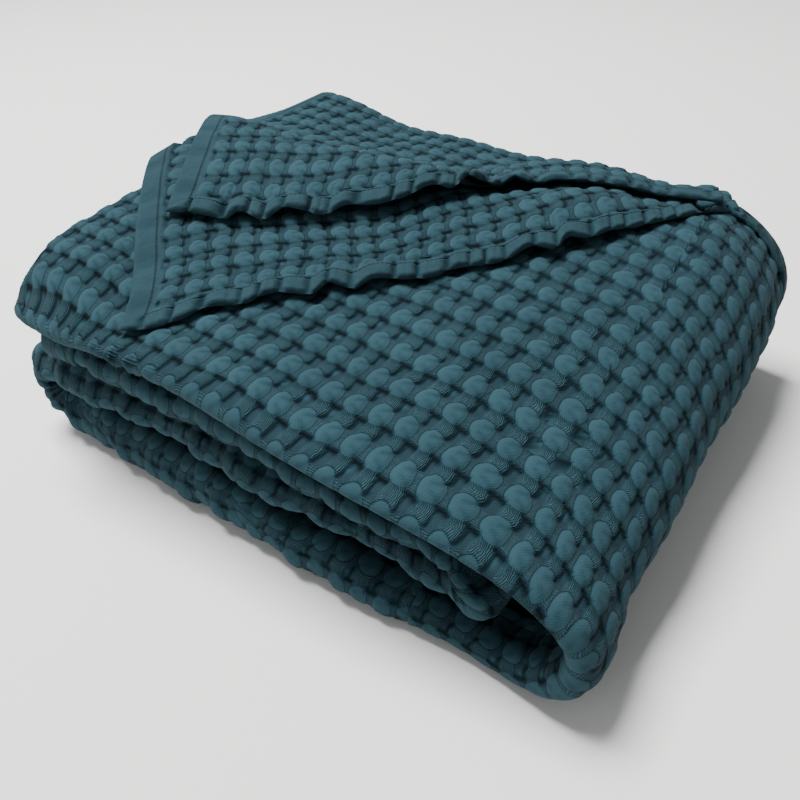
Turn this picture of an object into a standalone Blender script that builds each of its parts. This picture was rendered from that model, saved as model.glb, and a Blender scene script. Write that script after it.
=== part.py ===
"""Folded waffle weave cotton blanket, modelled as the one piece of cloth that it is.

The blanket is folded in half twice along its length, which makes a strip of four plies, and the strip is
folded back and forth three times into a stack. A section across the strip is one line of cloth:

    free hem, top ply, back fold, bottom ply, front fold, third ply, inner back fold, second ply, free hem

The strip is carried along a path with four runs and three turns. The top two plies are drawn back on the
top run, so that their hems lie aslant and bare the third ply, which wraps over the front edge.

x runs along the strip, y across it from the front folds to the back folds, and z up. Metres.
"""
import bisect
import math

import bmesh
import bpy
import numpy as np
from mathutils import Vector

# Driving sizes
CELL = 0.018            # weave repeat along the strip
CLOTH = 0.006           # thickness of the waffle cloth, pad to pad
DEPTH = 21.5 * CELL     # front fold to back fold
OUTER_TURN = 21.6 * CELL  # where the wide turn at the right end starts
INNER_TURN = 19.3 * CELL  # where the tight turn inside it starts
RUN_GAP = 0.003         # space between two runs of the strip
HEM = 0.72 * CELL       # width of the plain hem
FRONT_BULGE = 0.014     # how far a front fold rounds out of its plies
OUTER_BULGE = 0.013     # the same for the back fold
INNER_BULGE = 0.005     # and for the fold inside it
INNER_FOLD = 0.021      # from the back to where the inner back fold starts
DEPTHS = (1.4, 3.3, 6.5, 10.5, 15.5)  # where the lower plies are sampled, in cells; they step past a hem from
                        # the first depth to the second
FREE_SLACK = 0.0025     # least space between two plies

# The wide turn
TURN_REACH = 0.050      # how far it goes to the right
TURN_SQUARE = 0.7       # how square its lower half is; 1 is round
TURN_FOOT = 0.034       # thickness of the strip where it meets the floor
FOOT_FROM = 0.4         # share of the turn past which the strip thickens to that
FOOT_TO = 0.5           # share of the bottom run in which it thickens on
PUFF = 0.008            # how far the third ply swells round it
PUFF_DEPTH = 18.2 * CELL  # depth of the fullest place
PUFF_SHARES = (0.0, 0.3, 0.6, 1.0)  # share of the swelling at each depth sample behind the front

# How the stack is pulled out of square
SECOND_OUT = 0.006      # how far the second ply hangs out at the left end
END_BOW = 0.015         # how far the front of the two upper left ends is tucked in
END_BOW_DEPTH = 1.6 * CELL
LEFT_LEAN = 0.018       # how much further right the left turn is at its foot
LEFT_LEAN_TOP = 0.080   # height where that ends
LEFT_PART = 6 * CELL    # x where the pulls at the left end have faded out
INNER_LEAN = 0.018      # how much further right the inner turn is at its foot
INNER_LEAN_HEIGHTS = (0.048, 0.115)
INNER_PART = (14 * CELL, 20 * CELL)  # x between which that lean comes in
BACK_PULL = 0.009       # how much less far right the stack reaches at the back
BACK_PULL_DEPTHS = (16 * CELL, 21 * CELL)
BACK_PART = (14 * CELL, 22 * CELL)  # x between which that pull comes in
TOE = 0.009             # how far the bottom run's front fold falls back at its left end
TOE_PART = 12 * CELL    # x where that has faded out
SWAY = 0.0022           # how far the front folds wander
SWAY_LENGTH = 0.195     # from one bend to the next
SWAY_HEIGHT = 0.090     # height over which the bends shift by one length
SWAY_DEPTH = 0.050      # depth in which they fade

# The four runs of the strip, top to bottom: thickness of its plies, x of its left end, y of its front fold
RUN_COLUMNS = ("thick", "left", "front")
RUNS = [
    (0.019, -0.009, -0.006),
    (0.032, -0.002, 0.000),
    (0.032, -0.037, 0.002),
    (0.045, 0.006, -0.007),
]
STACK = sum(row[0] for row in RUNS) + 3 * RUN_GAP   # top of the third ply before the stack is pressed uneven

# Top of the third ply near the front edge, along x, in cells
CROWN_COLUMNS = ("x", "height")
CROWN = [(-2, 7.1), (0, 7.3), (5, 7.5), (10, 7.2), (14, 6.6), (17, 6.2), (20, 5.7), (22, 5.3), (24, 5.0),
         (27, 4.8)]
# and how much higher it is further back, by depth, in cells: at the left end, in the middle and on the right
RISE_COLUMNS = ("depth", "left", "middle", "right")
RISE = [
    (0.0, 0.00, 0.00, 0.00),
    (0.8, 0.65, 0.02, 0.00),
    (2.2, 1.35, 0.15, 0.12),
    (4.0, 1.65, 0.35, 0.37),
    (8.0, 1.85, 0.85, 1.00),
    (13.0, 1.70, 1.05, 1.75),
    (17.8, 1.60, 0.75, 2.05),
    (21.5, 1.60, 0.40, 1.75),
]
LEFT_REACH = 6.5        # x where the left column has faded into the middle one, in cells
RIGHT_REACH = (10.0, 18.0)  # x between which the middle one fades into the right one

# Free hems on the top run, along x, in cells: y of the second ply's hem and of the top ply's hem
SECOND_HEM = [(-2, 10.6), (0, 8.4), (3, 4.7), (5, 2.3), (6.3, 0.3), (8.5, 2.6), (11, 5.6), (14, 8.6),
              (17, 12.2), (19.5, 15.6), (21.2, 18.2), (23, 19.3), (25, 19.4)]
TOP_HEM = [(-2, 14.0), (0, 11.4), (2, 8.1), (3.2, 6.0), (5, 6.0), (8, 7.6), (10.4, 9.3), (12.6, 11.7),
           (14, 14.0), (15.8, 16.2), (17.4, 17.5), (20, 18.4), (23, 19.4), (25, 19.5)]
SIDE_HEM = 3.6          # depth of both hems behind the front fold on the other runs, in cells
BACK_HEM = 19.9         # depth of both hems round the wide turn, in cells

# Ridge of the top ply, where it folds: how far back, and how much it lifts the second and the top ply
RIDGE = [(-2, 12.6), (2, 12.9), (8, 13.2), (12.5, 14.2), (17, 16.5), (25, 20.0)]
LIFT = [(-2, 1.1), (4, 1.1), (8, 1.2), (12, 0.9), (15, 0.6), (18, 0.9), (20, 0.5), (23, 0.05), (25, 0.0)]
RIDGE_FRONT = 5.0       # reach of the lift in front of the ridge, in cells
RIDGE_BACK = 1.5        # and behind it
SECOND_LIFT = 0.8       # share of the lift that the second ply has

# Ruffles of the front hems
RUFFLE = 0.0022         # height of a ruffle
RUFFLE_LENGTH = 0.043   # from one ruffle to the next
RUFFLE_SHIFT = 0.8      # how far the top ply's ruffles are out of step, in radians
RUFFLE_DEPTH = 3.0 * CELL  # depth in which they fade

HEM_RETURN = 0.6        # share of the bottom run in which the hems come forward again
TURN_CLEAR = 0.002      # from a turn to the first station of a straight run
NEAR_END = 0.2          # a regular station nearer than this share of the spacing to a run's end is left out
TURN_STATIONS = {"wide turn": 9, "left turn": 6, "inner turn": 6}
TOP_SPACING = 1         # cells from one station of the top run to the next
RUN_SPACING = 2         # and of the other runs


def along(table, x):
    """Value of a two-column table at x, straight between its rows."""
    keys = [row[0] for row in table]
    if x <= keys[0]:
        return table[0][1]
    if x >= keys[-1]:
        return table[-1][1]
    index = bisect.bisect_right(keys, x)
    (x0, y0), (x1, y1) = table[index - 1], table[index]
    return y0 + (y1 - y0) * (x - x0) / (x1 - x0)


def curve(table, x):
    """Value of a two-column table at x, on a smooth curve through its rows."""
    keys = [row[0] for row in table]
    x = min(max(x, keys[0]), keys[-1])
    index = min(bisect.bisect_right(keys, x), len(keys) - 1)
    slopes = []
    for row in (index - 1, index):
        before, after = max(row - 1, 0), min(row + 1, len(keys) - 1)
        slopes.append((table[after][1] - table[before][1]) / (keys[after] - keys[before]))
    (x0, y0), (x1, y1) = table[index - 1], table[index]
    span = x1 - x0
    t = (x - x0) / span
    return (y0 * (1 + 2 * t) * (1 - t) ** 2 + slopes[0] * span * t * (1 - t) ** 2
            + y1 * t * t * (3 - 2 * t) + slopes[1] * span * t * t * (t - 1))


def smooth(value):
    """Soft step from 0 to 1."""
    value = min(max(value, 0.0), 1.0)
    return value * value * (3.0 - 2.0 * value)


def between(start, end, value):
    """Soft step from 0 at start to 1 at end."""
    return smooth((value - start) / (end - start))


def mix(first, second, share):
    """Blend of two numbers."""
    return first + (second - first) * share


def third_ply_top(x, y):
    """Height of the third ply's top over a point of the stack."""
    cx, cy = x / CELL, y / CELL
    left, middle, right = (curve([(row[0], row[column]) for row in RISE], cy) for column in (1, 2, 3))
    rise = mix(left, middle, smooth(cx / LEFT_REACH))
    rise = mix(rise, right, between(*RIGHT_REACH, cx))
    return CELL * (curve(CROWN, cx) + rise)


class Station:
    """One place on the strip's path: the inner face of the bottom ply, and the strip's own section there."""

    def __init__(self, run, x, z, heading, thick, front, hems, sunk, puff=0.0):
        self.run = run
        self.x, self.z = x, z
        self.normal = (-math.sin(heading), math.cos(heading))
        self.thick, self.front = thick, front
        self.second_hem, self.top_hem = hems
        self.sunk, self.puff = sunk, puff


def hem_depths(kind, share, x):
    """y of the second and of the top ply's free hem at a station."""
    side = (SIDE_HEM * CELL, SIDE_HEM * CELL)
    back = (BACK_HEM * CELL, BACK_HEM * CELL)
    if kind == "top":
        cx = x / CELL
        return along(SECOND_HEM, cx) * CELL, along(TOP_HEM, cx) * CELL
    if kind == "wide turn":
        return back
    if kind == "bottom":
        blend = smooth(share / HEM_RETURN)
        return mix(back[0], side[0], blend), mix(back[1], side[1], blend)
    return side


def strip_path():
    """Stations along the strip, from its free end at the top left to the one under it."""
    runs = [dict(zip(RUN_COLUMNS, row)) for row in RUNS]
    top, second, third, bottom = runs
    level = {"top": STACK - top["thick"]}
    level["second"] = level["top"] - RUN_GAP
    level["third"] = level["second"] - second["thick"] - RUN_GAP - third["thick"]
    level["bottom"] = level["third"] - RUN_GAP
    left_turn = third["left"] + (third["thick"] + bottom["thick"]) / 2
    stations = []

    def straight(kind, run, start, end, heading):
        spacing = (TOP_SPACING if kind == "top" else RUN_SPACING) * CELL
        low, high = min(start, end), max(start, end)
        first, last = math.ceil(low / spacing + NEAR_END), math.floor(high / spacing - NEAR_END)
        places = [low] + [index * spacing for index in range(first, last + 1)] + [high]
        if start > end:
            places.reverse()
        for x in places:
            share = (x - start) / (end - start)
            thick, front, z = run["thick"], run["front"], level[kind]
            if kind == "bottom":
                z = thick = mix(TURN_FOOT, thick, smooth(share / FOOT_TO))
                front += TOE * (1.0 - smooth(x / TOE_PART))
            stations.append(Station(kind, x, z, heading, thick, front, hem_depths(kind, share, x),
                                    0.0 if kind == "top" else 1.0))

    def turn(kind, before, after, x, z_from, z_to, reach, square=1.0):
        count = TURN_STATIONS[kind]
        middle, half = (z_from + z_to) / 2, (z_from - z_to) / 2
        for index in range(1, count + 1):
            share = index / (count + 1)
            angle = math.pi * share
            power = square if share > 0.5 else 1.0
            out = math.sin(angle) ** power
            sideways = reach * power * math.cos(angle) * out / math.sin(angle)
            heading = math.atan2(-half * math.sin(angle), sideways)
            blend = smooth(share)
            thick, front, sunk = mix(before["thick"], after["thick"], blend), before["front"], 1.0
            if kind == "wide turn":
                thick, sunk = mix(before["thick"], TURN_FOOT, between(FOOT_FROM, 1.0, share)), blend
            if kind == "left turn":
                front += TOE
            stations.append(Station(kind, x + reach * out, middle + half * math.cos(angle), heading, thick,
                                    mix(front, after["front"], blend), hem_depths(kind, share, x), sunk,
                                    math.sin(angle) if kind == "wide turn" else 0.0))

    straight("top", top, top["left"], OUTER_TURN, 0.0)
    turn("wide turn", top, bottom, OUTER_TURN, level["top"], TURN_FOOT, TURN_REACH, TURN_SQUARE)
    straight("bottom", bottom, OUTER_TURN - TURN_CLEAR, left_turn, -math.pi)
    turn("left turn", bottom, third, left_turn, level["bottom"], level["third"], -RUN_GAP / 2)
    straight("third", third, left_turn + TURN_CLEAR, INNER_TURN - TURN_CLEAR, 0.0)
    inner = (level["second"] - level["third"]) / 2
    turn("inner turn", third, second, INNER_TURN, level["third"], level["second"], inner)
    straight("second", second, INNER_TURN - TURN_CLEAR, second["left"], math.pi)
    return stations


def half_round(y, bulge, w_from, w_to, count):
    """Points of a fold seen along it: half an ellipse at depth y from one ply's level to another's."""
    middle, half = (w_from + w_to) / 2, (w_from - w_to) / 2
    angles = [math.pi * (index + 1) / (count + 1) for index in range(count)]
    return [(y + bulge * math.sin(angle), middle + half * math.cos(angle)) for angle in angles]


def shares(start, end, *parts):
    """Depths between two depths, one for each share of the way."""
    return [mix(start, end, part) for part in parts]


def section(station):
    """Middle line of the cloth across the strip, as (y, w, ply); w is measured outwards from the path."""
    half = CLOTH / 2
    slack = max((station.thick - 4 * CLOTH) / 3, FREE_SLACK)
    pitch = CLOTH + slack
    bulged_w = station.thick - half
    third_w = mix(bulged_w, half + pitch, station.sunk)
    second_w = third_w + pitch
    top_w = second_w + pitch
    bulge = min(0.5 * station.thick, FRONT_BULGE)
    front_y = station.front + bulge
    outer_back, inner_back = DEPTH - OUTER_BULGE, DEPTH - INNER_FOLD

    under = [front_y] + [depth * CELL for depth in DEPTHS]
    under[-1] = min(max(under[-1], station.second_hem - 1.5 * CELL), PUFF_DEPTH)
    puffed = [third_w + PUFF * station.puff * share for share in PUFF_SHARES]
    if station.top_hem + 2 * HEM < under[3]:
        over = under[3:]
    else:
        ridge = min(max(along(RIDGE, station.x / CELL) * CELL, mix(station.top_hem, inner_back, 0.5)),
                    mix(station.top_hem, inner_back, 0.8))
        over = [mix(station.top_hem, ridge, 0.6), ridge, mix(ridge, inner_back, 0.5)]
    hem_end = min(HEM / (inner_back - station.top_hem), 0.25)
    second_end = min(HEM, 0.3 * (over[0] - station.second_hem))

    plies = [
        ("top", top_w, [station.top_hem, mix(station.top_hem, inner_back, hem_end)] + over + [outer_back]),
        ("back", (outer_back, OUTER_BULGE, top_w, half), 3),
        ("bottom", half, [outer_back] + under[::-1]),
        ("front", (front_y, -bulge, half, bulged_w), 4),
        ("third", bulged_w, under[:2]),
        ("third", puffed + [third_w], under[2:] + [inner_back]),
        ("inner", (inner_back, INNER_BULGE, third_w, second_w), 3),
        ("second", second_w, [inner_back] + over[::-1]
         + [station.second_hem + second_end, station.second_hem]),
    ]
    line = []
    for ply, level, places in plies:
        if isinstance(level, tuple):
            line += [(y, w, ply) for y, w in half_round(*level, places)]
        elif isinstance(level, list):
            line += [(y, w, ply) for y, w in zip(places, level)]
        else:
            line += [(y, level, ply) for y in places]
    return line


def ply_lift(station, x, y, ply):
    """Lift of the two free plies on the top run: the ridge, and the ruffles of their front hems."""
    if station.run != "top" or ply not in ("top", "second", "back"):
        return 0.0
    cx, cy = x / CELL, y / CELL
    ridge = along(RIDGE, cx)
    reach = RIDGE_FRONT if cy < ridge else RIDGE_BACK
    bell = math.exp(-((cy - ridge) / reach) ** 2)
    lift = along(LIFT, cx) * CELL * bell * (SECOND_LIFT if ply == "second" else 1.0)
    hem = station.top_hem if ply == "top" else station.second_hem
    if ply != "back":
        nearness = 1.0 - smooth((y - hem) / RUFFLE_DEPTH)
        wave = 1.0 + math.sin(2 * math.pi * x / RUFFLE_LENGTH + (RUFFLE_SHIFT if ply == "top" else 0.0))
        lift += RUFFLE * wave * nearness
    return lift


def place(station, y, w, ply):
    """Point of the cloth in space: out from the path, lifted on the top run, then pressed out of level."""
    nx, nz = station.normal
    x = station.x + nx * w
    z = station.z + nz * w
    left = 1.0 - smooth(station.x / LEFT_PART)
    if station.run == "top" and ply == "second":
        x -= SECOND_OUT * left
    if station.run in ("top", "second"):
        x += END_BOW * (1.0 - smooth(y / END_BOW_DEPTH)) * left
    if station.run in ("bottom", "left turn", "third"):
        x += LEFT_LEAN * (1.0 - smooth(z / LEFT_LEAN_TOP)) * left
    if station.run in ("third", "inner turn", "second"):
        x += INNER_LEAN * (1.0 - between(*INNER_LEAN_HEIGHTS, z)) * between(*INNER_PART, x)
    x -= BACK_PULL * between(*BACK_PULL_DEPTHS, y) * between(*BACK_PART, x)
    z += ply_lift(station, x, y, ply)
    bend = 2 * math.pi * (x / SWAY_LENGTH + station.z / SWAY_HEIGHT)
    sway = SWAY * math.sin(bend) * math.exp(-max(y, 0.0) / SWAY_DEPTH)
    height = third_ply_top(x, y)
    if z > STACK:
        z = height + (z - STACK)
    else:
        z *= height / STACK
    return Vector((x, y + sway, z))


def cloth_rings():
    """Both faces of the cloth at every station: two rows of points, one on each side of the middle line."""
    rings = []
    for station in strip_path():
        line = section(station)
        flat = np.array([(y, w) for y, w, _ in line])
        steps = np.diff(flat, axis=0)
        steps /= np.linalg.norm(steps, axis=1)[:, None]
        tangent = np.vstack([steps[:1], steps[:-1] + steps[1:], steps[-1:]])
        tangent /= np.linalg.norm(tangent, axis=1)[:, None]
        side = np.stack([-tangent[:, 1], tangent[:, 0]], axis=1) * CLOTH / 2
        faces = []
        for sign in (1.0, -1.0):
            offset = flat + sign * side
            faces.append([place(station, y, w, ply) for (y, w), (_, _, ply) in zip(offset, line)])
        rings.append(faces)
    return rings


def blanket_mesh():
    """Loft between the stations: two faces, the two hems along the strip and the two ends of the strip."""
    mesh = bpy.data.meshes.new("blanket")
    grid = bmesh.new()
    rings = [[[grid.verts.new(point) for point in row] for row in faces] for faces in cloth_rings()]
    count = len(rings[0][0])
    for here, there in zip(rings[:-1], rings[1:]):
        for index in range(count - 1):
            grid.faces.new((here[0][index], here[0][index + 1], there[0][index + 1], there[0][index]))
            grid.faces.new((here[1][index], there[1][index], there[1][index + 1], here[1][index + 1]))
        for index, order in ((0, 1), (count - 1, -1)):
            hem = (here[0][index], there[0][index], there[1][index], here[1][index])
            grid.faces.new(hem[::order])
    for ring, order in ((rings[0], 1), (rings[-1], -1)):
        for index in range(count - 1):
            end = (ring[0][index], ring[1][index], ring[1][index + 1], ring[0][index + 1])
            grid.faces.new(end[::order])
    bmesh.ops.recalc_face_normals(grid, faces=grid.faces)
    bmesh.ops.triangulate(grid, faces=grid.faces)
    grid.to_mesh(mesh)
    grid.free()
    return mesh


def rest_on_origin(mesh):
    """Put the middle of the box's bottom at the origin."""
    points = np.empty(len(mesh.vertices) * 3, dtype=np.float32)
    mesh.vertices.foreach_get("co", points)
    points = points.reshape(-1, 3)
    low, high = points.min(axis=0), points.max(axis=0)
    points -= ((low + high) / 2 * (1, 1, 0) + low * (0, 0, 1)).astype(np.float32)
    mesh.vertices.foreach_set("co", points.ravel())
    mesh.update()


def cotton():
    """Teal cotton, dull."""
    material = bpy.data.materials.new("teal_cotton")
    material.use_nodes = True
    shader = material.node_tree.nodes["Principled BSDF"]
    shader.inputs["Base Color"].default_value = (0.030, 0.105, 0.130, 1.0)
    shader.inputs["Roughness"].default_value = 0.9
    shader.inputs["Metallic"].default_value = 0.0
    return material


def main():
    for item in list(bpy.data.objects):
        bpy.data.objects.remove(item, do_unlink=True)
    parts = bpy.data.collections.new("waffle_blanket")
    bpy.context.scene.collection.children.link(parts)
    mesh = blanket_mesh()
    rest_on_origin(mesh)
    mesh.materials.append(cotton())
    mesh.shade_smooth()
    mesh.set_sharp_from_angle(angle=math.radians(50))
    blanket = bpy.data.objects.new("blanket", mesh)
    parts.objects.link(blanket)


main()
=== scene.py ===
"""Folded waffle weave cotton blanket: the cloth's surface, its weave in relief, its hems and its finish.

Everything is laid out in the strip's own coordinates: x along the folded strip, y across it from the front
folds to the back folds, z up. ORIGIN takes that to the frame of the solids.
"""
import functools
import math

import bpy
import numpy as np
from mathutils import Matrix, Vector


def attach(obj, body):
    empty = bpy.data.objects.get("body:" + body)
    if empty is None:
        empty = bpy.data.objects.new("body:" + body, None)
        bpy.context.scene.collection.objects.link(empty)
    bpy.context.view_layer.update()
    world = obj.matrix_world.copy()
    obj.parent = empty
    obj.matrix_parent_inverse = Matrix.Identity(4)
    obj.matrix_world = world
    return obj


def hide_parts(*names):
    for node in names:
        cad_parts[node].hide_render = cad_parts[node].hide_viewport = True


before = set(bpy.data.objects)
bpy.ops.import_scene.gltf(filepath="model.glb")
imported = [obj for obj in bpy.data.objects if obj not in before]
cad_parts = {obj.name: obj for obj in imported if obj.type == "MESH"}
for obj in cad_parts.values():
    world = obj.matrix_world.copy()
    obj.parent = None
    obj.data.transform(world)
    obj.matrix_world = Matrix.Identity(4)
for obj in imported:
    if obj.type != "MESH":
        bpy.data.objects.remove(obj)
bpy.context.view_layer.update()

# ---- sizes of the folded cloth, as in the solid: in metres, and in tables in weave repeats
CELL = 0.018
ROW = 1.368 * CELL
CLOTH = 0.006
DEPTH = 21.5 * CELL
OUTER_TURN = 21.6 * CELL
INNER_TURN = 19.3 * CELL
RUN_GAP = 0.003
HEM = 1.10 * CELL
FRONT_HEM = 0.76 * CELL  # a puckered hem draws in to this
FRONT_BULGE, OUTER_BULGE, INNER_BULGE, INNER_FOLD = 0.014, 0.013, 0.005, 0.021
DEPTHS = (1.4 * CELL, 3.3 * CELL, 6.5 * CELL, 10.5 * CELL, 15.5 * CELL)
FREE_SLACK = 0.0025
TURN_REACH, TURN_SQUARE, TURN_FOOT, FOOT_FROM, FOOT_TO = 0.050, 0.7, 0.034, 0.4, 0.5
PUFF, PUFF_DEPTH, PUFF_SHARES = 0.008, 18.2 * CELL, (0.0, 0.3, 0.6, 1.0)
SECOND_OUT, END_BOW, END_BOW_DEPTH = 0.006, 0.015, 1.6 * CELL
LEFT_LEAN, LEFT_LEAN_TOP, LEFT_PART = 0.018, 0.080, 6 * CELL
INNER_LEAN, INNER_LEAN_HEIGHTS, INNER_PART = 0.030, (0.048, 0.115), (14 * CELL, 20 * CELL)
BACK_PULL, BACK_PULL_DEPTHS, BACK_PART = 0.003, (16 * CELL, 21 * CELL), (14 * CELL, 22 * CELL)
TOE, TOE_PART = 0.009, 12 * CELL
TURN_STEP, TURN_FOLD = 0.009, 0.003  # on the wide turn the back fold steps in; the inner fold's depth there
LOW_BOW, LOW_BOW_LEVEL, LOW_BOW_DEPTH = 0.030, 0.010, 4.5 * CELL  # the top run's lowest ply, in at the left
HEM_CLEAR = 0.004  # a free hem ends at least this far short of the back fold
SWAY, SWAY_LENGTH, SWAY_HEIGHT, SWAY_DEPTH = 0.0022, 0.195, 0.090, 0.050

RUN_COLUMNS = ("thick", "left", "front")
RUNS = [
    (0.019, -0.009, -0.006),
    (0.032, -0.002, 0.000),
    (0.032, -0.037, 0.002),
    (0.045, 0.006, -0.007),
]
STACK = sum(row[0] for row in RUNS) + 3 * RUN_GAP

CROWN = [(-2, 7.1), (0, 7.3), (5, 7.5), (10, 7.2), (14, 6.6), (17, 6.2), (20, 5.7), (22, 5.3), (24, 5.0),
         (27, 4.8)]
RISE = [
    (0.0, 0.00, 0.00, 0.00),
    (0.8, 0.65, 0.02, 0.00),
    (2.2, 1.35, 0.15, 0.12),
    (4.0, 1.65, 0.35, 0.37),
    (8.0, 1.85, 0.85, 1.00),
    (13.0, 1.70, 1.05, 1.75),
    (17.8, 1.60, 0.75, 2.05),
    (21.5, 1.60, 0.40, 1.75),
]
LEFT_REACH, RIGHT_REACH = 6.5, (10.0, 18.0)
BACK_CORNER, CORNER_ALONG, CORNER_ACROSS = 0.68, (19.0, 22.5), (14.0, 20.0)  # the far corner stands up
SECOND_HEM = [(-2, 10.6), (0, 8.4), (3, 4.7), (5, 2.3), (6.3, 0.3), (8.5, 2.6), (11, 5.6), (14, 8.6),
              (17, 12.2), (19.5, 15.6), (21.2, 18.2), (23, 19.3), (25, 19.4)]
TOP_HEM = [(-2, 14.0), (0, 11.4), (2, 8.1), (3.2, 6.0), (5, 6.0), (8, 7.6), (10.4, 9.3), (12.6, 11.7),
           (14, 14.0), (15.8, 16.2), (17.4, 17.5), (20, 18.4), (23, 19.4), (25, 19.5)]
SIDE_HEM, BACK_HEM, HEM_RETURN = 3.6 * CELL, 20.6 * CELL, 0.6
RIDGE = [(-2, 12.6), (2, 12.9), (8, 13.2), (12.5, 14.2), (17, 16.5), (25, 20.0)]
LIFT = [(-2, 1.1), (4, 1.1), (8, 1.2), (12, 0.9), (15, 0.6), (18, 0.9), (20, 0.5), (23, 0.05), (25, 0.0)]
RIDGE_FRONT, RIDGE_BACK, SECOND_LIFT = 5.0, 1.5, 0.8
ORIGIN = np.array((0.21661, 0.18930, 0.0))

# ---- sizes of the weave
PAD = 0.0032  # height of a woven pad over the hollow beside it
TIGHT_FOLD = 0.014  # round a fold of this radius the relief is pressed to half
SEAT = -0.0004  # the hollows' floor, from the middle of the cloth
PAD_ALONG, PAD_ACROSS = 0.398, 0.330  # half sizes of a pad, in weave repeats
PAD_SQUARE, PAD_STEEP, BUNDLE_STEEP, CURL_STEEP = 2.3, 4.5, 4, 5  # powers of a pad's outline and of the sides
BUNDLE = 0.265  # half width of a bundle of loose threads between two pads of a row, in repeats
CURL_ALONG, CURL_ACROSS, CURL_BACK = 0.51, 0.35, -0.12  # sizes and middle of a curl of loose threads
DRIFTS = (0.05, 0.04, 0.045)  # how far the grid of pads wanders, in repeats
PAD_SIZE, PAD_WOBBLES, PAD_TILTS = (0.95, 0.11), (0.035, 0.02), (0.22, 0.25)
BUNDLE_VARY, BUNDLE_SAG, CURL_SHIFT, CURL_VARY = 0.05, 0.22, 0.10, 0.08
CURL_RISE, CURL_START = 0.20, 0.12  # how far behind a curl's centre it comes up, and its threads begin
CURL_MIDDLE, CURL_RIM = 0.50, 0.26  # a curl's height in its middle, and what its rim adds
PAD_LEVEL, BUNDLE_LEVEL, CURL_LEVEL = (0.84, 0.16), (0.46, 0.16), (0.82, 0.30)  # least height, random part
PAD_MM, ROW_MM, CURL_MM, CELL_MM = 7.5, 24.0, 8.0, 18.0  # millimetres in a pad, a row, a curl and a repeat
ROW_SHADE, CURL_SHADE = (-1.2, 1.7), (-1.0, 1.3)  # in mm from an outline: the darkest line of the painted shade, and its width
SIDE_STEP = 0.1  # the painted shade comes up within this, in repeats, on its own side of a row and a curl
CURL_SHARE, ON_THREADS = 0.85, 0.30  # how dark the painted shade is there beside a curl, and on the threads themselves
FRAY, ARC_BACK = 0.0004, 0.24  # loose threads' unevenness; how far behind a curl its arcs are centred
KNOT_LEVEL, KNOT_ALONG, KNOT_ACROSS, KNOT_RARE = 0.40, 0.20, 0.13, 0.72  # small knots in the hollows
FLOOR_SWELL = 0.12  # the hollows' floor is this much higher between four pads
DEPTH_KEPT = 4.0  # mm inside or outside an outline, past which no depth is kept
HEM_THICK = 0.0040  # a hem's two turned layers
HEM_SINK = 0.0028  # a free hem lies down on the cloth below it
RIM, RIM_LEFT = 0.0024, 0.06  # radius of the cloth's edges, and the share of its thickness left there
HEM_FADE = 0.15  # past a hem the weave comes up within this, in hem widths
SLOW_WAVE, CRUMPLE, MOST_WAVES = 0.0009, 0.0008, 1.2  # heights; slow waves grow with ruckle to this share
RIB = 0.0011  # from one rib of a pad to the next; drawn coarser than it is, to show
EDGE_DROP = 0.0010  # a free hem's very edge hangs down
GATHER = 0.0025  # a hem drawn in this deep gets painted shade as dark as the crevices'
SEAM = 0.84  # the seam's place on a hem, from its edge, in hem widths
STITCH = 0.0032  # from one hem stitch to the next
THREAD = 0.00105  # from one loose thread to the next; drawn twice as coarse as it is, to show


def smooth(value):
    """Soft step from 0 to 1."""
    value = np.clip(value, 0.0, 1.0)
    return value * value * (3.0 - 2.0 * value)


def between(start, end, value):
    """Soft step from 0 at start to 1 at end."""
    return smooth((np.asarray(value) - start) / (end - start))


def mix(first, second, share):
    """Blend of two values."""
    return first + (second - first) * share


def bell(value, middle, width):
    """1 at middle, falling off to both sides: the exponential of a negative square."""
    return np.exp(-((value - middle) / width) ** 2)


def along(table, x):
    """Values of a two-column table at x, straight between its rows."""
    keys, values = zip(*table)
    return np.interp(x, keys, values)


def curve(keys, values, x):
    """Values on a smooth curve: between two rows, the cubic that has each row's mean slope at its ends."""
    keys, values = np.asarray(keys, float), np.asarray(values, float)
    x = np.clip(x, keys[0], keys[-1])
    index = np.clip(np.searchsorted(keys, x, side="right"), 1, len(keys) - 1)
    slopes = np.empty(len(keys))
    slopes[1:-1] = (values[2:] - values[:-2]) / (keys[2:] - keys[:-2])
    slopes[0] = (values[1] - values[0]) / (keys[1] - keys[0])
    slopes[-1] = (values[-1] - values[-2]) / (keys[-1] - keys[-2])
    span = keys[index] - keys[index - 1]
    t = (x - keys[index - 1]) / span
    return (values[index - 1] * (1 + 2 * t) * (1 - t) ** 2 + slopes[index - 1] * span * t * (1 - t) ** 2
            + values[index] * t * t * (3 - 2 * t) + slopes[index] * span * t * t * (t - 1))


def travelled(points, axis=0):
    """Distance covered along one axis of a grid of points, 0 at its first."""
    covered = np.cumsum(np.linalg.norm(np.diff(points, axis=axis), axis=-1), axis=axis)
    return np.pad(covered, [(int(number == axis), 0) for number in range(covered.ndim)])


def third_ply_top(x, y):
    """Height of the third ply's top: a crown along x, and a rise with depth that blends three profiles."""
    cx, cy = x / CELL, y / CELL
    depth, *profiles = np.array(RISE).T
    left, middle, right = (curve(depth, profile, cy) for profile in profiles)
    rise = mix(mix(left, middle, smooth(cx / LEFT_REACH)), right, between(*RIGHT_REACH, cx))
    corner = BACK_CORNER * between(*CORNER_ALONG, cx) * between(*CORNER_ACROSS, cy)
    return CELL * (curve(*zip(*CROWN), cx) + rise + corner)


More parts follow.
